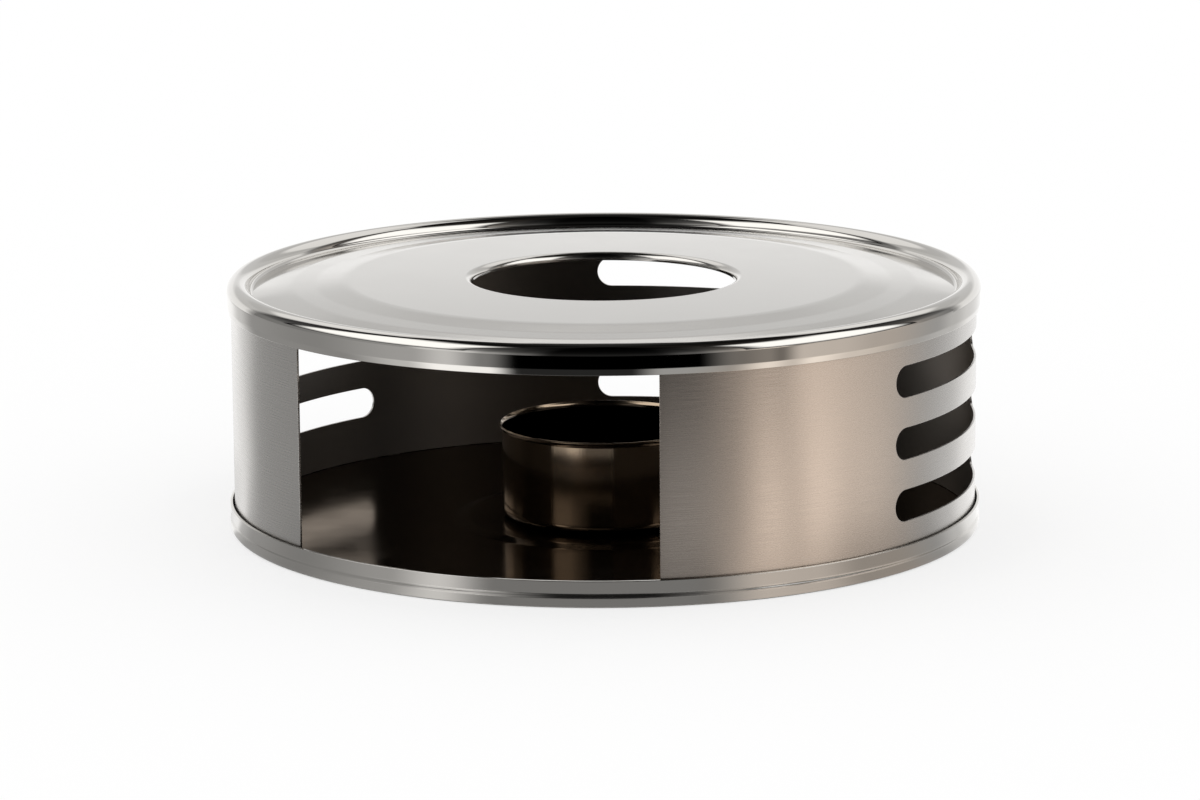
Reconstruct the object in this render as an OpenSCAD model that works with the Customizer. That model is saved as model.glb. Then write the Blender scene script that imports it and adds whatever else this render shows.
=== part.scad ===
// Round teapot warmer pressed from thin stainless sheet. A shallow base pan carries a
// slotted side wall that is open at the front, a beaded top plate with a flame hole
// rests on the wall, and a small open cup in the middle holds a tealight.
// The origin is under the middle of the pan, +Z is up and the opening faces -Y.

/* [Overall] */
// Diameter over the bead and over the pan's rim
outer_d = 150; // [130:1:200]
// Height from the table to the crest of the bead
total_h = 50; // [44:1:80]
// Sheet thickness of the plate, the wall and the pan
sheet_t = 0.5; // [0.4:0.1:0.8]

/* [Top plate] */
// Outer radius of the half-round bead
bead_r = 2.3; // [1.8:0.1:2.6]
// Depth of the skirt's edge below the crest
skirt_depth = 5.8; // [4:0.1:9]
// Height of the skirt's lower edge that leans in towards the wall
tuck_h = 1.4; // [0.8:0.1:1.6]
// Lean of that edge in degrees
tuck_angle = 9; // [2:1:10]
// Bend radius above the leaning edge
tuck_bend_r = 3; // [1:0.5:4]
// Diameter of the raised disc
disc_d = 100.6; // [80:0.1:112]
// Depth of the raised disc below the crest
disc_depth = 0.5; // [0.1:0.1:1.2]
// Bend radius at the top and the foot of the low step round the disc
step_bend_r = 20; // [8:1:25]
// Slope of the step in degrees
step_slope = 6.5; // [5:0.5:9]
// Straight part of the step
step_straight = 4; // [1:0.5:6]
// Fall of the ring outside the step in degrees
channel_slope = 3; // [1:0.5:4]
// Straight part of that ring
channel_straight = 3.5; // [2:0.5:5]
// Fall of the gutter beside the bead in degrees
gutter_slope = 8; // [5:1:12]
// Bend radius at the start of the gutter
gutter_bend_r = 15; // [5:1:20]
// Bend radius where the gutter turns up into the bead
channel_bend_r = 1; // [0.6:0.1:1.2]
// Diameter of the flame hole
hole_d = 52.5; // [30:0.5:70]
// Outer radius of the hole's turned-down edge
lip_r = 1.3; // [1:0.1:3]
// Straight part of the turned-down edge
lip_straight = 0.3; // [0.2:0.1:2]

/* [Side wall] */
// Gap between the wall and the skirt and rim outside it
wall_gap = 0.4; // [0.3:0.1:0.8]
// Width of the front opening in degrees
opening_angle = 60; // [30:1:80]
// Angle from the front opening to the middle of each side group of slots
side_group_angle = 93.5; // [85:0.5:110]
// Angle that each group of slots spans
slot_arc = 46; // [20:1:60]
// Height of a slot
slot_h = 6.2; // [3:0.1:9]
// Rise from one slot to the next
slot_pitch = 12.1; // [10:0.1:14]
// Slots in each group
slot_rows = 3; // [1:1:3]
// Lift of the slots above the middle of the open wall
slot_lift = 0.25; // [-2:0.05:2]

/* [Base pan] */
// Height of the pan's rim
rim_h = 5.3; // [4.5:0.1:10]
// Outer radius of the pan's bottom corner
pan_corner_r = 1; // [0.8:0.05:1.15]
// Height of the foot below the groove that runs round the rim
foot_h = 1.7; // [1.2:0.1:2]
// Height over which the foot steps in to the bottom of the groove
foot_step_h = 1.3; // [0.8:0.1:1.6]
// Depth of the groove, from which the rim flares out again
foot_step = 0.2; // [0.05:0.05:0.3]
// Diameter of the raised seat under the cup
seat_d = 54; // [46:1:80]
// Rise of the seat above the pan's floor
seat_rise = 0.6; // [0.4:0.1:3]
// Bend radius at the edge of the seat
seat_bend_r = 3; // [1:0.5:5]
// Slope of the seat's edge in degrees
seat_slope = 12; // [8:1:18]

/* [Tealight cup] */
// Outer diameter of the cup's wall
cup_d = 41.2; // [36:0.1:45]
// Height of the cup
cup_h = 18.8; // [12:0.1:30]
// Sheet thickness of the cup
cup_t = 0.4; // [0.3:0.1:0.8]
// Outer radius of the cup's bottom corner
cup_corner_r = 2; // [1:0.1:5]
// Bend radius of the flared edge
flare_bend_r = 1.2; // [0.6:0.1:3]
// Flare of the edge in degrees
flare_angle = 40; // [10:1:80]
// Straight part of the flared edge
flare_straight = 0.45; // [0.2:0.05:2]

/* [Fits] */
// Clearance where the wall's edges seat in the pan and under the bead
seat_gap = 0.05; // [0.02:0.01:0.2]

/* [Hidden] */
$fn = 180;
// Largest turn in degrees between two stations of a bend
bend_facet = 6;
outer_r = outer_d / 2;

// Top plate, along the middle of the sheet
hole_r = hole_d / 2;
lip_mid_r = lip_r - sheet_t / 2;
disc_mid_z = total_h - disc_depth - sheet_t / 2;
lip_top_z = disc_mid_z - lip_mid_r;
step_start_r = disc_d / 2;
bead_mid_r = bead_r - sheet_t / 2;
bead_centre_r = outer_r - bead_r;
bead_centre_z = total_h - bead_r;

// The long bends at the step and the gutter, limited by the width between the disc and the bead
step_width = 2 * sin(step_slope) - sin(channel_slope);
gutter_width = sin(gutter_slope) - sin(channel_slope);
bend_room = bead_centre_r - bead_r - channel_bend_r - step_start_r
    - step_straight * cos(step_slope) - channel_straight * cos(channel_slope);
bend_share = min(1, bend_room / (step_bend_r * step_width + gutter_bend_r * gutter_width));
step_r = step_bend_r * bend_share;
gutter_r = gutter_bend_r * bend_share;
step_end_r = step_start_r + step_r * step_width + step_straight * cos(step_slope);
step_end_z = disc_mid_z - step_r * (1 + cos(channel_slope) - 2 * cos(step_slope))
    - step_straight * sin(step_slope);
gutter_start_r = step_end_r + channel_straight * cos(channel_slope) + gutter_r * gutter_width;
gutter_start_z = step_end_z - channel_straight * sin(channel_slope)
    - gutter_r * (cos(channel_slope) - cos(gutter_slope));

// Where the bend at the gutter's end and the bead's arc meet, from the place of the bead's
// centre as seen from the centre of a bend that would start with the gutter
to_bead = bead_centre_r - gutter_start_r - channel_bend_r * sin(gutter_slope);
over_bead = gutter_start_z + channel_bend_r * cos(gutter_slope) - bead_centre_z;
both_r = channel_bend_r + bead_mid_r;
along = to_bead * cos(gutter_slope) + over_bead * sin(gutter_slope);
gutter_run = along - sqrt(pow(along, 2) - pow(to_bead, 2) - pow(over_bead, 2) + pow(both_r, 2));
bead_turn = atan2(to_bead - gutter_run * cos(gutter_slope), over_bead - gutter_run * sin(gutter_slope));
tuck_straight = (tuck_h - tuck_bend_r * sin(tuck_angle)) / cos(tuck_angle);

// Base pan and cup, along the middle of the sheet
pan_mid_r = pan_corner_r - sheet_t / 2;
pan_flat_r = outer_r - pan_corner_r;
foot_turn = 2 * atan(foot_step / foot_step_h);
foot_bend_r = foot_step_h / 2 / sin(foot_turn);
rim_rise = rim_h - foot_h - foot_step_h;
rim_turn = 2 * atan(foot_step / rim_rise);
rim_bend_r = rim_rise / sin(rim_turn);
seat_len = (seat_rise - 2 * seat_bend_r * (1 - cos(seat_slope))) / sin(seat_slope);
seat_run = 2 * seat_bend_r * sin(seat_slope) + seat_len * cos(seat_slope);
cup_mid_r = cup_corner_r - cup_t / 2;
cup_z = sheet_t + seat_rise;
flare_rise = flare_bend_r * sin(flare_angle) + flare_straight * cos(flare_angle)
    + cup_t / 2 * sin(flare_angle);

// Side wall, between the pan's corner and the underside of the bead
wall_r = outer_r - sheet_t - wall_gap;
wall_inner_r = wall_r - sheet_t;
pan_inner_r = pan_corner_r - sheet_t;
pan_reach = max(0, wall_r - pan_flat_r);
wall_bottom_z = pan_corner_r - sqrt(pow(pan_inner_r, 2) - pow(pan_reach, 2)) + seat_gap;
bead_inner_r = bead_r - sheet_t;
bead_reach = max(abs(wall_r - bead_centre_r), abs(wall_inner_r - bead_centre_r));
wall_top_z = bead_centre_z + sqrt(pow(bead_inner_r, 2) - pow(bead_reach, 2)) - seat_gap;
wall_start = -90 + opening_angle / 2;
slot_mid_z = (rim_h + total_h - skirt_depth) / 2 + slot_lift;
slot_end_angle = asin(slot_h / 2 / wall_r);
cut_margin = 2;

// Stations that one step adds along the middle of a bent sheet, each [x, z, heading].
// A step is [length] where the sheet runs straight, and [radius, turn] where it bends,
// with a positive turn to the left.
function straight(at, length) =
    [[at[0] + length * cos(at[2]), at[1] + length * sin(at[2]), at[2]]];
function bend(at, radius, turn) =
    let (side = sign(turn), count = ceil(abs(turn) / bend_facet),
        x = at[0] - side * radius * sin(at[2]), z = at[1] + side * radius * cos(at[2]))
    [for (i = [1:count]) let (heading = at[2] + turn * i / count)
        [x + side * radius * sin(heading), z - side * radius * cos(heading), heading]];
function follow(path, steps, i = 0) =
    i == len(steps) ? path :
    let (at = path[len(path) - 1], step = steps[i])
    follow(concat(path, len(step) == 1 ? straight(at, step[0]) : bend(at, step[0], step[1])), steps, i + 1);

// Section through a sheet of thickness t whose middle starts at [x, z, heading]
module section(start, steps, t) {
    path = follow([start], steps);
    last = len(path) - 1;
    left = [for (s = path) [s[0] - t / 2 * sin(s[2]), s[1] + t / 2 * cos(s[2])]];
    right = [for (s = path) [s[0] + t / 2 * sin(s[2]), s[1] - t / 2 * cos(s[2])]];
    polygon(concat(left, [for (i = [last:-1:0]) right[i]]));
}

// From the hole's edge over the disc, down the step and the gutter, over the bead and down
// the skirt
module top_plate() {
    steps = [
        [lip_straight],
        [lip_mid_r, -90],
        [step_start_r - hole_r - sheet_t / 2 - lip_mid_r],
        [step_r, -step_slope],
        [step_straight],
        [step_r, step_slope - channel_slope],
        [channel_straight],
        [gutter_r, channel_slope - gutter_slope],
        [gutter_run],
        [channel_bend_r, gutter_slope + bead_turn],
        [bead_mid_r, -bead_turn - 90],
        [skirt_depth - bead_r - tuck_h],
        [tuck_bend_r, -tuck_angle],
        [tuck_straight]
    ];
    color("#cdccc7")
        rotate_extrude()
            section([hole_r + sheet_t / 2, lip_top_z - lip_straight, 90], steps, sheet_t);
}

// One slot at height z, with its round ends cut square to the wall
module slot(middle_angle, z) {
    half_arc = slot_arc / 2 - slot_end_angle;
    rotate([0, 0, middle_angle]) {
        rotate([0, 0, -half_arc])
            rotate_extrude(angle = 2 * half_arc)
                translate([wall_inner_r - cut_margin, z - slot_h / 2])
                    square([sheet_t + 2 * cut_margin, slot_h]);
        for (side = [-1, 1])
            rotate([0, 0, side * half_arc])
                translate([wall_inner_r - cut_margin, 0, z])
                    rotate([0, 90, 0])
                        cylinder(d = slot_h, h = sheet_t + 2 * cut_margin, $fn = 48);
    }
}

// Strip rolled into a C, slotted at both sides and at the back
module side_wall() {
    color("#a79f95")
        difference() {
            rotate([0, 0, wall_start])
                rotate_extrude(angle = 360 - opening_angle)
                    translate([wall_inner_r, wall_bottom_z])
                        square([sheet_t, wall_top_z - wall_bottom_z]);
            for (group = [-side_group_angle, side_group_angle, 180])
                for (row = [0:slot_rows - 1])
                    slot(group - 90, slot_mid_z + (row - (slot_rows - 1) / 2) * slot_pitch);
        }
}

// From the middle of the seat down its edge, along the floor, up the foot, over the groove and
// up the flared rim
module base_pan() {
    steps = [
        [seat_d / 2],
        [seat_bend_r, -seat_slope],
        [seat_len],
        [seat_bend_r, seat_slope],
        [pan_flat_r - seat_d / 2 - seat_run],
        [pan_mid_r, 90],
        [max(0.01, foot_h - pan_corner_r)],
        [foot_bend_r, foot_turn],
        [foot_bend_r, -foot_turn],
        [rim_bend_r, -rim_turn]
    ];
    color("#8d8a85")
        rotate_extrude()
            section([0, sheet_t / 2 + seat_rise, 0], steps, sheet_t);
}

// From the middle of the floor up the wall to the flared edge
module tealight_cup() {
    steps = [
        [cup_d / 2 - cup_corner_r],
        [cup_mid_r, 90],
        [cup_h - cup_corner_r - flare_rise],
        [flare_bend_r, -flare_angle],
        [flare_straight]
    ];
    color("#5b5148")
        rotate_extrude()
            section([0, cup_z + cup_t / 2, 0], steps, cup_t);
}

base_pan();
side_wall();
top_plate();
tealight_cup();
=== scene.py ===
import math

import bpy
from mathutils import Matrix, Vector


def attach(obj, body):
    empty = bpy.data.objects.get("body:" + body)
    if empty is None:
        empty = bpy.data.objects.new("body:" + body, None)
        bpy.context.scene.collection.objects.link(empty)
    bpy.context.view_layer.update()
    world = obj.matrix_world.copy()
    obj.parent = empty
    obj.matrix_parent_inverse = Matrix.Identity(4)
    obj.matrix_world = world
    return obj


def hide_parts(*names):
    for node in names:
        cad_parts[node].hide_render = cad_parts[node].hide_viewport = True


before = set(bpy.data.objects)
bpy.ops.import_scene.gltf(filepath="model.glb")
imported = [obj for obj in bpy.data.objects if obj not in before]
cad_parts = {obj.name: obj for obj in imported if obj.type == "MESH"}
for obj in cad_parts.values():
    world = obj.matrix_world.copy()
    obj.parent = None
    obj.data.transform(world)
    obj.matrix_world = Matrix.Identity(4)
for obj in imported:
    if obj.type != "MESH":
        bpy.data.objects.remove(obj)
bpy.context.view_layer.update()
print("frame loaded:", ", ".join(sorted(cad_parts)))

mm = 0.001


def cosSin(degrees):
    a = math.radians(degrees)
    return math.cos(a), math.sin(a)


def linearColour(hexText):
    parts = [int(hexText[i:i + 2], 16) / 255 for i in (1, 3, 5)]
    return [c / 12.92 if c <= 0.04045 else ((c + 0.055) / 1.055) ** 2.4 for c in parts] + [1.0]


def addObject(name, verts, faces, normals=None, mapName=None, mapped=None):
    # mapped holds two numbers for each corner of each face
    mesh = bpy.data.meshes.new(name)
    mesh.from_pydata(verts, [], faces)
    if mapped:
        mesh.uv_layers.new(name=mapName).data.foreach_set("uv", mapped)
    if normals:
        mesh.polygons.foreach_set("use_smooth", [True] * len(mesh.polygons))
        mesh.normals_split_custom_set_from_vertices(normals)
    piece = bpy.data.objects.new(name, mesh)
    bpy.context.scene.collection.objects.link(piece)
    return piece


# Sheet profiles. A profile is a walk along the middle of the sheet in the r-z plane, and
# a step is (length,) where it runs straight or (radius, turn) where it bends, left if positive.
def walkSheet(start, steps, facet=3.0):
    r, z, heading = start
    stations = [start]
    for step in steps:
        c, s = cosSin(heading)
        if len(step) == 1:
            r, z = r + step[0] * c, z + step[0] * s
            stations.append((r, z, heading))
            continue
        radius, turn = step
        side = math.copysign(1, turn)
        centreR, centreZ = r - side * radius * s, z + side * radius * c
        count = math.ceil(abs(turn) / facet)
        first = heading
        for i in range(1, count + 1):
            heading = first + turn * i / count
            c, s = cosSin(heading)
            r, z = centreR + side * radius * s, centreZ - side * radius * c
            stations.append((r, z, heading))
    return stations


sheetMm = 0.5
edgeMm = 0.12  # how far the cut edges of the pressed pieces are rounded
edgeAngles = (0, 30, 60, 90)


def endCap(station, thickness, forward):
    # the cut end of a sheet with both corners rounded, as (r, z, normal's angle)
    r, z, heading = station
    c, s = cosSin(heading)
    sign = 1 if forward else -1
    points = []
    for side, angles in ((sign, edgeAngles), (-sign, edgeAngles[::-1])):
        for a in angles:
            across, onward = cosSin(a)
            across = side * (across * edgeMm + thickness / 2 - edgeMm)
            onward = sign * (onward - 1) * edgeMm
            points.append((r + onward * c - across * s, z + onward * s + across * c,
                           heading + side * (90 - sign * a)))
    return points


def sheetOutline(stations, thickness, capStart=True):
    # outline of the sheet as (r, z, normal's angle): its left side, and then its right side back
    half = thickness / 2
    left, right = [], []
    for r, z, heading in stations:
        c, s = cosSin(heading)
        left.append((r - half * s, z + half * c, heading + 90))
        right.append((r + half * s, z - half * c, heading - 90))
    outline = left[1:-1] + endCap(stations[-1], thickness, True) + right[-2:0:-1]
    if capStart:
        return outline + endCap(stations[0], thickness, False)
    return [left[0]] + outline + [right[0]]


def spinSheet(name, outline, segments, closed):
    # turns the outline round Z; the map "sheet" holds mm round the piece and mm along its outline
    around = [cosSin(360 * k / segments) for k in range(segments)]
    verts, normals, rings, runs = [], [], [], [0.0]
    for i, (r, z, angle) in enumerate(outline):
        if i:
            runs.append(runs[-1] + math.hypot(r - outline[i - 1][0], z - outline[i - 1][1]))
        out, up = cosSin(angle)
        if r < 1e-6:  # one point on the axis
            rings.append([len(verts)] * segments)
            verts.append((0, 0, z * mm))
            normals.append((0, 0, math.copysign(1, up)))
            continue
        rings.append(range(len(verts), len(verts) + segments))
        for c, s in around:
            verts.append((r * c * mm, r * s * mm, z * mm))
            normals.append((out * c, out * s, up))
    faces, mapped = [], []
    for i in range(len(outline) if closed else len(outline) - 1):
        j = (i + 1) % len(outline)
        (r, z, _), (nextR, nextZ, _) = outline[i], outline[j]
        runNext = runs[i] + math.hypot(nextR - r, nextZ - z)
        segmentMm = math.pi * (r + nextR) / segments
        for k in range(segments):
            m = (k + 1) % segments
            corners = [(rings[i][k], k, runs[i]), (rings[j][k], k, runNext),
                       (rings[j][m], k + 1, runNext), (rings[i][m], k + 1, runs[i])]
            kept = [c for n, c in enumerate(corners) if c[0] != corners[n - 1][0]]
            faces.append([c[0] for c in kept])
            mapped += [number for c in kept for number in (c[1] * segmentMm, c[2])]
    return addObject(name, verts, faces, normals, "sheet", mapped)


def standFor(piece, node, material):
    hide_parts(node)
    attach(piece, "root")
    piece.data.materials.append(material)
    print(piece.name, "has", len(piece.data.polygons), "faces")


# Materials
def newMaterial(name):
    material = bpy.data.materials.new(name)
    material.use_nodes = True
    material.node_tree.nodes.clear()
    return material, material.node_tree


def addNode(tree, kind, sockets=None, **settings):
    # adds any node with its settings; each socket is linked or given a value
    node = tree.nodes.new(kind)
    for key, value in settings.items():
        setattr(node, key, value)
    for socket, source in (sockets or {}).items():
        if isinstance(source, bpy.types.NodeSocket):
            tree.links.new(source, node.inputs[socket])
        else:
            node.inputs[socket].default_value = source
    return node


noiseLow, noiseHigh = 0.3, 0.7  # nearly all values of a noise lie between these


def distanceMm(tree, place):
    # distance from the upright axis
    flat = addNode(tree, "ShaderNodeVectorMath", {0: place, 1: (1 / mm, 1 / mm, 0)}, operation="MULTIPLY")
    return addNode(tree, "ShaderNodeVectorMath", {0: flat.outputs[0]}, operation="LENGTH").outputs["Value"]


def outerShare(tree, place, innerEnd, outerStart):
    # 0 on the inner face of a sheet and 1 on its outer face, by the distance from the axis
    return addNode(tree, "ShaderNodeMapRange",
                   {"Value": distanceMm(tree, place), "From Min": innerEnd, "From Max": outerStart},
                   interpolation_type="SMOOTHSTEP").outputs[0]


# Pressed plate in 18/8 stainless steel, satin from the mill on the disc and buffed on the bead and skirt.
# The disc gives a soft pale mirror, and the bead sharp streaks of the studio.
plateLook = dict(colour="#C9C6C1", satinRough=0.13, buffRough=0.05, buffFrom=62.0, buffTo=69.0,
                 mottleMm=9.0, mottleRough=0.02)


def satinPlateSteel():
    look = plateLook
    material, tree = newMaterial("stainlessSteelPressedSatin")
    place = addNode(tree, "ShaderNodeTexCoord").outputs["Object"]
    mottle = addNode(tree, "ShaderNodeTexNoise",
                     {"Vector": place, "Scale": 1 / (look["mottleMm"] * mm), "Detail": 4.0})
    rough = addNode(tree, "ShaderNodeMapRange",
                    {"Value": distanceMm(tree, place), "From Min": look["buffFrom"], "From Max": look["buffTo"],
                     "To Min": look["satinRough"], "To Max": look["buffRough"]}, interpolation_type="SMOOTHSTEP")
    vary = addNode(tree, "ShaderNodeMapRange",
                   {"Value": mottle.outputs["Fac"], "From Min": noiseLow, "From Max": noiseHigh,
                    "To Min": -look["mottleRough"], "To Max": look["mottleRough"]})
    total = addNode(tree, "ShaderNodeMath", {0: rough.outputs[0], 1: vary.outputs[0]}, operation="ADD")
    shader = addNode(tree, "ShaderNodeBsdfPrincipled",
                     {"Base Color": linearColour(look["colour"]), "Metallic": 1.0, "Roughness": total.outputs[0]})
    addNode(tree, "ShaderNodeOutputMaterial", {"Surface": shader.outputs[0]})
    return material


# Rolled strip in stainless steel, brushed round the wall: it blurs reflections up and down and fine lines run
# round it. The inner face is rougher, and its colour and edge tint are painted darker as painted shade inside the
# holder. Real brush lines are about 0.05 mm apart, too fine to show, so they are drawn 0.2 mm apart.
wallLook = dict(colour="#C9C6C2", paintedWarmLightColour="#C9BEB4", innerPaintedShade="#847F7A", innerPaintedShadeEdge="#C0BBB6",
                rough=0.27, roughSpread=0.04, innerRough=0.42, anisotropy=0.75, anisotropyTurn=0.25,
                innerEnd=73.6, outerStart=73.66, lineLengthMm=8.0, lineHeightMm=0.2, lineDepthMm=0.0028,
                warmUpTo=66.0, coldFrom=112.0)


def brushedWallSteel():
    look = wallLook
    material, tree = newMaterial("stainlessSteelBrushedStrip")
    sheet = addNode(tree, "ShaderNodeUVMap", uv_map="sheet").outputs[0]
    lines = addNode(tree, "ShaderNodeVectorMath",
                    {0: sheet, 1: (1 / look["lineLengthMm"], 1 / look["lineHeightMm"], 0)}, operation="MULTIPLY")
    grain = addNode(tree, "ShaderNodeTexNoise", {"Vector": lines.outputs[0], "Scale": 1.0, "Detail": 3.0})
    bump = addNode(tree, "ShaderNodeBump", {"Height": grain.outputs["Fac"], "Distance": look["lineDepthMm"] * mm})
    around = addNode(tree, "ShaderNodeTangent", direction_type="RADIAL", axis="Z")
    place = addNode(tree, "ShaderNodeTexCoord").outputs["Object"]
    outside = outerShare(tree, place, look["innerEnd"], look["outerStart"])
    # a faint warm tint painted at the strip's right end as painted warm light, fading by the mm round the wall
    split = addNode(tree, "ShaderNodeSeparateXYZ", {0: sheet})
    tint = addNode(tree, "ShaderNodeMapRange",
                   {"Value": split.outputs["X"], "From Min": look["coldFrom"], "From Max": look["warmUpTo"]},
                   interpolation_type="SMOOTHSTEP")
    steel = addNode(tree, "ShaderNodeMix",
                    {0: tint.outputs[0], 6: linearColour(look["colour"]), 7: linearColour(look["paintedWarmLightColour"])},
                    data_type="RGBA")
    # painted shade: the inner face gets a darker colour here, and a darker edge tint below
    colour = addNode(tree, "ShaderNodeMix",
                     {0: outside, 6: linearColour(look["innerPaintedShade"]), 7: steel.outputs[2]}, data_type="RGBA")
    edge = addNode(tree, "ShaderNodeMix",
                   {0: outside, 6: linearColour(look["innerPaintedShadeEdge"]), 7: linearColour("#FFFFFF")}, data_type="RGBA")
    outerRough = addNode(tree, "ShaderNodeMapRange",
                         {"Value": grain.outputs["Fac"], "From Min": noiseLow, "From Max": noiseHigh,
                          "To Min": look["rough"] - look["roughSpread"], "To Max": look["rough"] + look["roughSpread"]})
    rough = addNode(tree, "ShaderNodeMix", {0: outside, 2: look["innerRough"], 3: outerRough.outputs[0]},
                    data_type="FLOAT")
    shader = addNode(tree, "ShaderNodeBsdfPrincipled",
                     {"Base Color": colour.outputs[2], "Specular Tint": edge.outputs[2], "Metallic": 1.0,
                      "Roughness": rough.outputs[0], "Normal": bump.outputs[0], "Tangent": around.outputs[0],
                      "Anisotropic": look["anisotropy"], "Anisotropic Rotation": look["anisotropyTurn"]})
    addNode(tree, "ShaderNodeOutputMaterial", {"Surface": shader.outputs[0]})
    return material


# Pressed pan in stainless steel, satin from the mill: a soft grey rim, and a floor painted dark as painted shade inside
# the holder
panLook = dict(colour="#C6C3BE", innerPaintedShade="#8A837C", innerPaintedShadeEdge="#B8B2AC", rough=0.14, roughSpread=0.03,
               mottleMm=8.333, innerEnd=74.25, outerStart=74.45)


def satinPanSteel():
    look = panLook
    material, tree = newMaterial("stainlessSteelPressedPan")
    place = addNode(tree, "ShaderNodeTexCoord").outputs["Object"]
    mottle = addNode(tree, "ShaderNodeTexNoise",
                     {"Vector": place, "Scale": 1 / (look["mottleMm"] * mm), "Detail": 3.0})
    rough = addNode(tree, "ShaderNodeMapRange",
                    {"Value": mottle.outputs["Fac"], "From Min": noiseLow, "From Max": noiseHigh,
                     "To Min": look["rough"] - look["roughSpread"], "To Max": look["rough"] + look["roughSpread"]})
    outside = outerShare(tree, place, look["innerEnd"], look["outerStart"])
    # painted shade: the inside of the pan gets a darker colour here, and a darker edge tint below
    colour = addNode(tree, "ShaderNodeMix",
                     {0: outside, 6: linearColour(look["innerPaintedShade"]), 7: linearColour(look["colour"])},
                     data_type="RGBA")
    edge = addNode(tree, "ShaderNodeMix",
                   {0: outside, 6: linearColour(look["innerPaintedShadeEdge"]), 7: linearColour("#FFFFFF")}, data_type="RGBA")
    shader = addNode(tree, "ShaderNodeBsdfPrincipled",
                     {"Base Color": colour.outputs[2], "Specular Tint": edge.outputs[2], "Metallic": 1.0,
                      "Roughness": rough.outputs[0]})
    addNode(tree, "ShaderNodeOutputMaterial", {"Surface": shader.outputs[0]})
    return material


# Drawn cup in bright stainless steel, painted dark inside as painted shade: a near mirror with draw lines that run up
# its wall. Real draw lines are finer, and these are as coarse as they need to be to show.
cupLook = dict(colour="#A3917C", innerPaintedShade="#3A342E", rough=0.1, innerEnd=20.25, outerStart=20.4,
               lineWidthMm=0.25, lineLengthMm=9.0, lineDepthMm=0.012)


def drawnCupSteel():
    look = cupLook
    material, tree = newMaterial("stainlessSteelDrawnCup")
    sheet = addNode(tree, "ShaderNodeUVMap", uv_map="sheet").outputs[0]
    lines = addNode(tree, "ShaderNodeVectorMath",
                    {0: sheet, 1: (1 / look["lineWidthMm"], 1 / look["lineLengthMm"], 0)}, operation="MULTIPLY")
    grain = addNode(tree, "ShaderNodeTexNoise", {"Vector": lines.outputs[0], "Scale": 1.0, "Detail": 2.0})
    bump = addNode(tree, "ShaderNodeBump", {"Height": grain.outputs["Fac"], "Distance": look["lineDepthMm"] * mm})
    place = addNode(tree, "ShaderNodeTexCoord").outputs["Object"]
    outside = outerShare(tree, place, look["innerEnd"], look["outerStart"])
    # painted shade: the inside of the cup gets a dark colour
    colour = addNode(tree, "ShaderNodeMix",
                     {0: outside, 6: linearColour(look["innerPaintedShade"]), 7: linearColour(look["colour"])},
                     data_type="RGBA")
    shader = addNode(tree, "ShaderNodeBsdfPrincipled",
                     {"Base Color": colour.outputs[2], "Metallic": 1.0, "Roughness": look["rough"],
                      "Normal": bump.outputs[0]})
    addNode(tree, "ShaderNodeOutputMaterial", {"Surface": shader.outputs[0]})
    return material


# Top plate: lip round the flame hole, disc, low step, gutter, bead and skirt
plate = dict(holeR=26.25, lipR=1.3, lipStraight=0.3, discR=50.3, discTop=49.5,
             stepR=20.0, stepSlope=6.5, stepLength=4.0, channelSlope=3.0, channelLength=3.5, channelBend=1.0,
             gutterSlope=8.0, gutterBend=15.0, beadR=2.3, outerR=75.0, height=50.0,
             skirtDepth=5.8, tuckHeight=1.4, tuckAngle=9.0, tuckBend=3.0, facet=2.0, segments=360)


def topPlate():
    p = plate
    lipMid, beadMid = p["lipR"] - sheetMm / 2, p["beadR"] - sheetMm / 2
    discZ = p["discTop"] - sheetMm / 2
    flat = (p["discR"] - p["holeR"] - sheetMm / 2 - lipMid) / 2
    (stepC, stepS), (channelC, channelS), (fallC, fallS), (tuckC, tuckS) = (
        cosSin(p[k]) for k in ("stepSlope", "channelSlope", "gutterSlope", "tuckAngle"))
    # where the gutter's slope begins
    endR = (p["discR"] + p["stepR"] * (2 * stepS - channelS) + p["stepLength"] * stepC
            + p["channelLength"] * channelC + p["gutterBend"] * (fallS - channelS))
    endZ = (discZ - p["stepR"] * (1 + channelC - 2 * stepC) - p["stepLength"] * stepS
            - p["channelLength"] * channelS - p["gutterBend"] * (channelC - fallC))
    # the gutter ends where its bend just meets the bead's arc
    toBead = p["outerR"] - p["beadR"] - endR - p["channelBend"] * fallS
    overBead = endZ + p["channelBend"] * fallC - p["height"] + p["beadR"]
    along = toBead * fallC + overBead * fallS
    run = along - math.sqrt(along ** 2 - toBead ** 2 - overBead ** 2 + (p["channelBend"] + beadMid) ** 2)
    turn = math.degrees(math.atan2(toBead - run * fallC, overBead - run * fallS))
    walk = walkSheet((p["holeR"] + sheetMm / 2, discZ - lipMid - p["lipStraight"], 90), [
        (p["lipStraight"],), (lipMid, -90), (flat,), (flat,),
        (p["stepR"], -p["stepSlope"]), (p["stepLength"],), (p["stepR"], p["stepSlope"] - p["channelSlope"]),
        (p["channelLength"],), (p["gutterBend"], p["channelSlope"] - p["gutterSlope"]),
        (run,), (p["channelBend"], p["gutterSlope"] + turn), (beadMid, -turn - 90),
        (p["skirtDepth"] - p["beadR"] - p["tuckHeight"],), (p["tuckBend"], -p["tuckAngle"]),
        ((p["tuckHeight"] - p["tuckBend"] * tuckS) / tuckC,)], p["facet"])
    return spinSheet("topPlateSheet", sheetOutline(walk, sheetMm), p["segments"], True)


standFor(topPlate(), "top_plate", satinPlateSteel())

# Base pan: raised seat, floor, corner, foot, a shallow groove and the rim that flares out above it
pan = dict(seatR=27.0, seatRise=0.6, seatBend=3.0, seatSlope=12.0, cornerR=1.0, footHeight=1.7, footStep=0.2,
           footStepHeight=1.3, rimHeight=5.3, outerR=75.0, segments=360)


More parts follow.
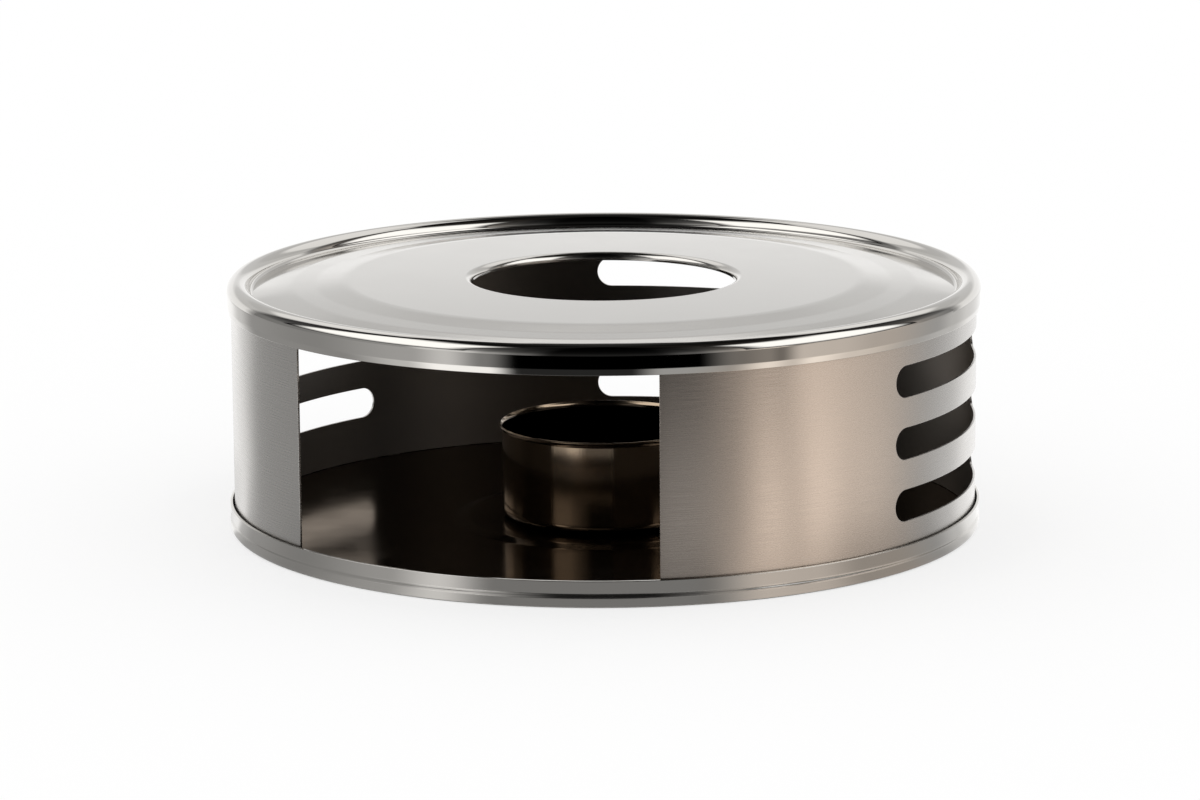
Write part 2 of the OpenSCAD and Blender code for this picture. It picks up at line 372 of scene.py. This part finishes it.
def basePan():
    p = pan
    slopeC, slopeS = cosSin(p["seatSlope"])
    seatLength = (p["seatRise"] - 2 * p["seatBend"] * (1 - slopeC)) / slopeS
    seatRun = 2 * p["seatBend"] * slopeS + seatLength * slopeC
    turn = 2 * math.atan(p["footStep"] / p["footStepHeight"])
    bend = p["footStepHeight"] / 2 / math.sin(turn)
    rise = p["rimHeight"] - p["footHeight"] - p["footStepHeight"]
    flare = 2 * math.atan(p["footStep"] / rise)
    walk = walkSheet((0, sheetMm / 2 + p["seatRise"], 0), [
        (p["seatR"],), (p["seatBend"], -p["seatSlope"]), (seatLength,), (p["seatBend"], p["seatSlope"]),
        (p["outerR"] - p["cornerR"] - p["seatR"] - seatRun,), (p["cornerR"] - sheetMm / 2, 90),
        (p["footHeight"] - p["cornerR"],), (bend, math.degrees(turn)), (bend, -math.degrees(turn)),
        (rise / math.sin(flare), -math.degrees(flare))])
    return spinSheet("basePanSheet", sheetOutline(walk, sheetMm, capStart=False), p["segments"], False)


standFor(basePan(), "base_pan", satinPanSteel())

# Tealight cup: floor, corner, wall and flared edge
cup = dict(outerR=20.6, seatZ=1.1, height=18.8, thickness=0.4, cornerR=2.0,
           flareBend=1.2, flareAngle=40.0, flareLength=0.45, segments=240)


def tealightCup():
    p = cup
    half = p["thickness"] / 2
    flareC, flareS = cosSin(p["flareAngle"])
    rise = p["flareBend"] * flareS + p["flareLength"] * flareC + half * flareS
    walk = walkSheet((0, p["seatZ"] + half, 0), [
        (p["outerR"] - p["cornerR"],), (p["cornerR"] - half, 90), (p["height"] - p["cornerR"] - rise,),
        (p["flareBend"], -p["flareAngle"]), (p["flareLength"],)])
    return spinSheet("tealightCupSheet", sheetOutline(walk, p["thickness"], capStart=False), p["segments"], False)


standFor(tealightCup(), "tealight_cup", drawnCupSteel())

# Side wall: a strip rolled into a C with three groups of three slots, its cut edges rounded.
# Angles grow round the wall from the middle of the opening, and groups are the angles of the slots' middles.
wall = dict(outerR=74.1, lowZ=0.56, highZ=48.78, openHalf=30.0, groups=(93.5, 180.0, 266.5), slotArc=46.0,
            slotHeight=6.2, slotZ=(12.9, 25.0, 37.1), edge=0.1, columnDeg=1.0, endSteps=14)


def wallColumns():
    # (angle, across, up) from one end of the strip to the other; across and up point to the slot's edge
    # from the middle of its round end, and both are 0 where the strip is whole
    w = wall
    half = w["slotArc"] / 2
    reach = half - math.degrees(math.asin(w["slotHeight"] / 2 / w["outerR"]))
    quarter = [cosSin(90 * i / w["endSteps"]) for i in range(w["endSteps"])]

    def plain(start, stop, up=0):
        count = max(1, round((stop - start) / w["columnDeg"]))
        return [(start + (stop - start) * i / count, 0, up) for i in range(count + 1)]

    columns, at = [], w["openHalf"]
    for middle in w["groups"]:
        columns += plain(at, middle - half)[1 if columns else 0:-1]
        columns += [(middle - reach, -c, s) for c, s in quarter]
        columns += plain(middle - reach, middle + reach, 1)
        columns += [(middle + reach, c, s) for c, s in quarter[::-1]]
        at = middle + half
    return columns + plain(at, 360 - w["openHalf"])[1:]


def sideWall():
    w = wall
    radius, edge = w["slotHeight"] / 2, w["edge"]
    # levels from the outer face over the cut edge to the inner face: (r, how far the hole widens, normal's tilt)
    levels = []
    for face, side in ((w["outerR"], 1), (w["outerR"] - sheetMm, -1)):
        for a in edgeAngles[::-side]:
            c, s = cosSin(a)
            levels.append((face - side * edge * (1 - s), edge * (1 - c), side * a))
    inner = len(levels) - 1
    columns = wallColumns()
    last = len(columns) - 1
    verts, normals, mapAt, lookup = [], [], [], {}

    def vertex(i, line, level):
        # line 0 is the strip's foot and 7 its top, and 1 to 6 are the slots' lower and upper edges
        angle, across, up = columns[i]
        r, widen, tilt = levels[level]
        slot, atSlot = (line - 1) // 2, 0 < line < 7
        key = (i, "slot%d" % slot if atSlot and not up else line, level)
        if key in lookup:
            return lookup[key]
        upper = 1 if line % 2 == 0 else -1
        if atSlot:
            grown = radius + widen
            z = w["slotZ"][slot] + upper * grown * up
            facing = Vector((-across, -upper * up))
        else:
            grown = radius
            z = w["lowZ"] + widen if line == 0 else w["highZ"] - widen
            facing = Vector((0, -upper))
        turn = math.radians(angle) + across * grown / w["outerR"]
        if i in (0, last):
            out = -1 if i == 0 else 1
            turn -= out * widen / w["outerR"]
            facing.x += out
        radial = Vector((math.sin(turn), -math.cos(turn), 0))
        along = Vector((math.cos(turn), math.sin(turn), 0))
        facing.normalize()
        flat, outward = cosSin(tilt)
        verts.append((radial.x * r * mm, radial.y * r * mm, z * mm))
        mapAt.append((turn * w["outerR"], z))
        normals.append((radial * outward + (along * facing.x + Vector((0, 0, facing.y))) * flat).normalized())
        lookup[key] = len(verts) - 1
        return lookup[key]

    faces = []

    def quad(*corners):
        ring = [c for n, c in enumerate(corners) if c != corners[n - 1]]
        if len(set(ring)) > 2:
            faces.append(ring)

    for i in range(last):
        for low in (0, 2, 4, 6):
            for level, a, b in ((0, low, low + 1), (inner, low + 1, low)):
                quad(vertex(i, a, level), vertex(i + 1, a, level), vertex(i + 1, b, level), vertex(i, b, level))
        slotted = any(columns[i][1:]) and any(columns[i + 1][1:])
        for line in range(8):
            if 0 < line < 7 and not slotted:
                continue
            for k in range(inner):
                ring = vertex(i, line, k), vertex(i + 1, line, k), vertex(i + 1, line, k + 1), vertex(i, line, k + 1)
                quad(*(ring if line % 2 else ring[::-1]))
    for i in (0, last):
        for low in (0, 2, 4, 6):
            for k in range(inner):
                ring = vertex(i, low, k), vertex(i, low + 1, k), vertex(i, low + 1, k + 1), vertex(i, low, k + 1)
                quad(*(ring[::-1] if i else ring))
    mapped = [number for face in faces for v in face for number in mapAt[v]]
    return addObject("sideWallStrip", verts, faces, normals, "sheet", mapped)


standFor(sideWall(), "side_wall", brushedWallSteel())

# Camera: a long lens, a little above the plate and to the right of the opening
view = dict(azimuth=22.1, elevation=11.70, distance=976.3, lens=146.4, sensor=36.0, roll=-0.36,
            aimRight=-0.85, aimUp=24.2, clip=(0.05, 50))


def addCamera():
    v = view
    (azimuthC, azimuthS), (riseC, riseS), (rollC, rollS) = (
        cosSin(v[k]) for k in ("azimuth", "elevation", "roll"))
    back = Vector((azimuthS * riseC, -azimuthC * riseC, riseS))
    right = Vector((azimuthC, azimuthS, 0))
    up = back.cross(right)
    data = bpy.data.cameras.new("camera")
    data.lens, data.sensor_width = v["lens"], v["sensor"]
    data.clip_start, data.clip_end = v["clip"]
    camera = bpy.data.objects.new("camera", data)
    bpy.context.scene.collection.objects.link(camera)
    axes = Matrix((right * rollC + up * rollS, up * rollC - right * rollS, back)).transposed().to_4x4()
    axes.translation = (right * v["aimRight"] + Vector((0, 0, v["aimUp"])) + back * v["distance"]) * mm
    camera.matrix_world = axes
    bpy.context.scene.camera = camera


addCamera()
print("camera placed")


# Studio. Azimuths are in degrees seen from the part, 0 towards the camera and growing to its right.
# The steel sees cards that the camera doesn't. A card's brightness comes from stops, (where, how bright).
def hideFromCamera(piece):
    # seen in the steel's reflections only, like the flags and boxes that stand round a product
    piece.visible_camera = piece.visible_diffuse = piece.visible_shadow = False
    piece.visible_transmission = piece.visible_volume_scatter = False


def spread(start, stop, count):
    return [start + (stop - start) * i / (count - 1) for i in range(count)]


def shellPatch(name, azimuths, elevations, radius, material):
    # a patch of a sphere round the part; its map "panel" runs from 0 to 1 both ways
    verts = []
    for elevation in elevations:
        out, up = cosSin(elevation)
        for azimuth in azimuths:
            c, s = cosSin(view["azimuth"] + azimuth)
            verts.append((s * out * radius, -c * out * radius, up * radius))
    across, rows = len(azimuths), len(elevations)
    faces = [(j * across + i, j * across + i + 1, (j + 1) * across + i + 1, (j + 1) * across + i)
             for j in range(rows - 1) for i in range(across - 1)]
    mapped = [number for face in faces for v in face
              for number in ((v % across) / (across - 1), (v // across) / (rows - 1))]
    piece = addObject(name, verts, faces, mapName="panel", mapped=mapped)
    piece.data.materials.append(material)
    hideFromCamera(piece)


def closeGlow(tree, strength, colour):
    glow = addNode(tree, "ShaderNodeEmission", {"Color": colour, "Strength": strength})
    addNode(tree, "ShaderNodeOutputMaterial", {"Surface": glow.outputs[0]})


def rampOver(tree, value, first, last, stops):
    # brightness from stops given in the value's own unit
    share = addNode(tree, "ShaderNodeMapRange", {"Value": value, "From Min": first, "From Max": last})
    ramp = addNode(tree, "ShaderNodeValToRGB", {0: share.outputs[0]})
    ramp.color_ramp.interpolation = "EASE"
    marks = ramp.color_ramp.elements
    for _ in stops[2:]:
        marks.new(0.5)
    for mark, (at, brightness) in zip(marks, stops):
        mark.position = (at - first) / (last - first)
        mark.color = (brightness, brightness, brightness, 1.0)
    return ramp.outputs[0]


def azimuthOf(tree, place):
    c, s = cosSin(view["azimuth"])
    toRight, toCamera = (addNode(tree, "ShaderNodeVectorMath", {0: place, 1: axis}, operation="DOT_PRODUCT")
                         for axis in ((c, s, 0), (s, -c, 0)))
    turn = addNode(tree, "ShaderNodeMath", {0: toRight.outputs["Value"], 1: toCamera.outputs["Value"]},
                   operation="ARCTAN2")
    return addNode(tree, "ShaderNodeMath", {0: turn.outputs[0]}, operation="DEGREES").outputs[0]


# The right side of the room is a little warm, and so is what it lights
warmth = dict(colour="#FFF4EA", stops=[(22, 0.0), (48, 1.0), (96, 1.0), (125, 0.0)])


def warmWhite(tree, azimuth, scale=1.0):
    share = rampOver(tree, azimuth, -180 * scale, 180 * scale, [(at * scale, warm) for at, warm in warmth["stops"]])
    return addNode(tree, "ShaderNodeMix",
                   {0: share, 6: linearColour("#FFFFFF"), 7: linearColour(warmth["colour"])},
                   data_type="RGBA").outputs[2]


# Painted floor under a plain white sky. The camera sees part of the floor as plain white,
# so the object's shadow shows at the share that is kept.
ground = dict(half=12.0, shadowKept=0.35, skyStrength=1.0)


def addFloor():
    g = ground
    world = bpy.data.worlds.new("softWorld")
    bpy.context.scene.world = world
    world.use_nodes = True
    sky = world.node_tree.nodes["Background"]
    sky.inputs["Color"].default_value = linearColour("#FFFFFF")
    sky.inputs["Strength"].default_value = g["skyStrength"]
    half = g["half"]
    floor = addObject("paleFloor", [(-half, -half, 0), (half, -half, 0), (half, half, 0), (-half, half, 0)],
                      [(0, 1, 2, 3)])
    material, tree = newMaterial("paintedFloor")
    paint = addNode(tree, "ShaderNodeBsdfDiffuse", {"Color": linearColour("#FFFFFF")})
    white = addNode(tree, "ShaderNodeEmission", {"Color": linearColour("#FFFFFF"), "Strength": 1.0})
    cameraRay = addNode(tree, "ShaderNodeLightPath").outputs["Is Camera Ray"]
    seen = addNode(tree, "ShaderNodeMath", {0: cameraRay, 1: 1 - g["shadowKept"]}, operation="MULTIPLY")
    mix = addNode(tree, "ShaderNodeMixShader", {0: seen.outputs[0], 1: paint.outputs[0], 2: white.outputs[0]})
    addNode(tree, "ShaderNodeOutputMaterial", {"Surface": mix.outputs[0]})
    floor.data.materials.append(material)


addFloor()

# Dim room: its walls by azimuth, fading out above the lower edges of the soft boxes by height over distance
room = dict(radius=3.0, foot=-2, columns=73, rows=24,
            around=[(-180, 1.1), (-146, 0.8), (-136, 0.25), (-112, 0.28), (-62, 0.42), (-53, 0.95), (-42, 0.95),
                    (-34, 0.5), (-24, 0.2), (-15, 0.02), (15, 0.02), (26, 0.14), (36, 0.4), (46, 0.9), (54, 0.95),
                    (58, 0.4), (66, 0.75), (96, 0.7), (112, 0.35), (136, 0.25), (146, 0.8), (180, 1.1)],
            rise=[(0.0, 1.0), (0.2, 1.0), (0.35, 0.5), (0.5, 0.25), (0.75, 0.1), (0.95, 0.02)])


def roomMaterial():
    material, tree = newMaterial("dimRoom")
    place = addNode(tree, "ShaderNodeTexCoord").outputs["Object"]
    azimuth = azimuthOf(tree, place)
    height = addNode(tree, "ShaderNodeSeparateXYZ", {0: place}).outputs["Z"]
    distance = addNode(tree, "ShaderNodeVectorMath", {0: place}, operation="LENGTH").outputs["Value"]
    slope = addNode(tree, "ShaderNodeMath", {0: height, 1: distance}, operation="DIVIDE")
    strength = addNode(tree, "ShaderNodeMath",
                       {0: rampOver(tree, azimuth, -180, 180, room["around"]),
                        1: rampOver(tree, slope.outputs[0], 0, 1, room["rise"])}, operation="MULTIPLY")
    closeGlow(tree, strength.outputs[0], warmWhite(tree, azimuth))
    return material


shellPatch("dimRoom", spread(-180, 180, room["columns"]), spread(room["foot"], 90, room["rows"]), room["radius"],
           roomMaterial())

# Soft boxes: lit cloths, full in their middle and falling off within the soft share of their width and height
softBoxes = dict(radius=1.2, softAcross=0.14, softUp=0.24, columns=33, rows=25, boxes=[
    dict(name="softBoxLeft", azimuth=-76, elevation=42, across=70, high=54, strength=1.75),
    dict(name="softBoxRight", azimuth=73, elevation=34, across=64, high=52, strength=1.75)])


def clothMaterial(name, strength):
    material, tree = newMaterial(name)
    panel = addNode(tree, "ShaderNodeUVMap", uv_map="panel").outputs[0]
    split = addNode(tree, "ShaderNodeSeparateXYZ", {0: panel})
    masks = []
    for axis, soft, full in (("X", softBoxes["softAcross"], strength), ("Y", softBoxes["softUp"], 1.0)):
        middle = addNode(tree, "ShaderNodeMath", {0: split.outputs[axis], 1: 0.5}, operation="SUBTRACT")
        away = addNode(tree, "ShaderNodeMath", {0: middle.outputs[0]}, operation="ABSOLUTE")
        masks.append(addNode(tree, "ShaderNodeMapRange",
                             {"Value": away.outputs[0], "From Min": 0.5, "From Max": 0.5 - soft,
                              "To Min": 0.0, "To Max": full}, interpolation_type="SMOOTHSTEP").outputs[0])
    both = addNode(tree, "ShaderNodeMath", {0: masks[0], 1: masks[1]}, operation="MULTIPLY")
    closeGlow(tree, both.outputs[0], linearColour("#FFFFFF"))
    return material


for box in softBoxes["boxes"]:
    halfAcross, halfHigh = box["across"] / 2, box["high"] / 2
    shellPatch(box["name"], spread(box["azimuth"] - halfAcross, box["azimuth"] + halfAcross, softBoxes["columns"]),
               spread(box["elevation"] - halfHigh, box["elevation"] + halfHigh, softBoxes["rows"]),
               softBoxes["radius"], clothMaterial(box["name"] + "Cloth", box["strength"]))

# Backdrop: the lit cloth behind the part, by its height in metres, softer at its sides and with a dark wedge
# high in its middle. Half, top and the wedge's numbers are in degrees.
backdrop = dict(half=59, top=66, radius=0.45, columns=33, rows=33, riseTop=0.4,
                rise=[(0.0, 1.15), (0.11, 1.1), (0.128, 0.93), (0.142, 0.75), (0.185, 0.76), (0.205, 0.68),
                      (0.24, 0.68), (0.265, 1.15), (0.36, 1.2), (0.39, 0.9), (0.41, 0.0)],
                wedgeFoot=37, wedgeSlope=1.5, wedgeSoft=6, wedgeKept=0.1, sideSoft=0.07, sideKept=0.35)


def backdropMaterial():
    b = backdrop
    material, tree = newMaterial("backdropCloth")
    place = addNode(tree, "ShaderNodeTexCoord").outputs["Object"]
    height = addNode(tree, "ShaderNodeSeparateXYZ", {0: place}).outputs["Z"]
    panel = addNode(tree, "ShaderNodeUVMap", uv_map="panel").outputs[0]
    split = addNode(tree, "ShaderNodeSeparateXYZ", {0: panel})
    middle = addNode(tree, "ShaderNodeMath", {0: split.outputs["X"], 1: 0.5}, operation="SUBTRACT")
    away = addNode(tree, "ShaderNodeMath", {0: middle.outputs[0]}, operation="ABSOLUTE")
    wedge = addNode(tree, "ShaderNodeMath",
                    {0: away.outputs[0], 1: 2 * b["half"] * b["wedgeSlope"], 2: b["wedgeFoot"]},
                    operation="MULTIPLY_ADD")
    up = addNode(tree, "ShaderNodeMath", {0: split.outputs["Y"], 1: b["top"]}, operation="MULTIPLY")
    over = addNode(tree, "ShaderNodeMath", {0: up.outputs[0], 1: wedge.outputs[0]}, operation="SUBTRACT")
    kept = addNode(tree, "ShaderNodeMapRange",
                   {"Value": over.outputs[0], "From Min": 0.0, "From Max": b["wedgeSoft"],
                    "To Min": 1.0, "To Max": b["wedgeKept"]}, interpolation_type="SMOOTHSTEP")
    sides = addNode(tree, "ShaderNodeMapRange",
                    {"Value": away.outputs[0], "From Min": 0.5, "From Max": 0.5 - b["sideSoft"],
                     "To Min": b["sideKept"], "To Max": 1.0}, interpolation_type="SMOOTHSTEP")
    first = addNode(tree, "ShaderNodeMath",
                    {0: rampOver(tree, height, 0, b["riseTop"], b["rise"]), 1: kept.outputs[0]},
                    operation="MULTIPLY")
    both = addNode(tree, "ShaderNodeMath", {0: first.outputs[0], 1: sides.outputs[0]}, operation="MULTIPLY")
    closeGlow(tree, both.outputs[0], linearColour("#FFFFFF"))
    return material


shellPatch("whiteBackdrop", spread(180 - backdrop["half"], 180 + backdrop["half"], backdrop["columns"]),
           spread(0, backdrop["top"], backdrop["rows"]), backdrop["radius"], backdropMaterial())

# Table card: the table as the steel sees it, bright and dark by azimuth. The side of the part that mirrors a
# spot at distance d and azimuth a lies at a / (2 - mirrorR / d), and the stops are by that azimuth,
# for the table near the part, further out and far out.
table = dict(innerR=0.0735, outerR=3.2, height=0.0003, segments=96, mirrorR=0.074,
             near=[(-90, 0.9), (-81, 1.1), (-77, 0.6), (-70, 0.42), (-52, 0.32), (-34, 0.5), (-25, 0.95),
                   (-16, 0.28), (14, 0.28), (24, 0.8), (32, 0.75), (42, 0.46), (60, 0.43), (70, 0.73), (77, 1.1),
                   (90, 1.2)],
             further=[(-90, 1.1), (-80, 1.05), (-70, 0.4), (-45, 0.38), (-32, 0.8), (-26, 1.55), (-18, 1.5),
                      (-13, 0.03), (4, 0.03), (9, 0.5), (19, 0.52), (26, 1.3), (30, 0.95), (34, 1.4), (42, 1.0),
                      (58, 0.6), (70, 0.75), (80, 1.15), (90, 1.15)], furtherFrom=0.1, furtherFull=0.12,
             far=[(-90, 1.15), (-82, 1.2), (-75, 0.8), (-68, 0.42), (-50, 0.36), (-30, 0.55), (-24, 0.85),
                  (-18, 0.3), (-13, 0.0), (14, 0.0), (20, 0.25), (25, 0.35), (27, 0.25), (31, 0.85), (37, 0.82),
                  (46, 0.66), (61, 0.5), (68, 0.7), (75, 0.9), (90, 1.15)], farFrom=0.19, farFull=0.24)


def tableMaterial():
    t = table
    material, tree = newMaterial("tableGrey")
    place = addNode(tree, "ShaderNodeTexCoord").outputs["Object"]
    distance = addNode(tree, "ShaderNodeVectorMath", {0: place}, operation="LENGTH").outputs["Value"]
    ratio = addNode(tree, "ShaderNodeMath", {0: t["mirrorR"], 1: distance}, operation="DIVIDE")
    spreadOut = addNode(tree, "ShaderNodeMath", {0: 2.0, 1: ratio.outputs[0]}, operation="SUBTRACT")
    side = addNode(tree, "ShaderNodeMath", {0: azimuthOf(tree, place), 1: spreadOut.outputs[0]},
                   operation="DIVIDE").outputs[0]
    brightness = rampOver(tree, side, -90, 90, t["near"])
    for name in ("further", "far"):
        share = addNode(tree, "ShaderNodeMapRange",
                        {"Value": distance, "From Min": t[name + "From"], "From Max": t[name + "Full"]},
                        interpolation_type="SMOOTHSTEP")
        mix = addNode(tree, "ShaderNodeMix",
                      {0: share.outputs[0], 2: brightness, 3: rampOver(tree, side, -90, 90, t[name])},
                      data_type="FLOAT")
        brightness = mix.outputs[0]
    closeGlow(tree, brightness, warmWhite(tree, side, 0.5))
    return material


def addTable():
    t = table
    n = t["segments"]
    around = [cosSin(360 * k / n) for k in range(n)]
    verts = [(r * c, r * s, t["height"]) for r in (t["innerR"], t["outerR"]) for c, s in around]
    card = addObject("tableCard", verts, [(k, (k + 1) % n, n + (k + 1) % n, n + k) for k in range(n)])
    card.data.materials.append(tableMaterial())
    hideFromCamera(card)


addTable()
print("studio built")

bpy.context.scene.view_settings.view_transform = "Standard"
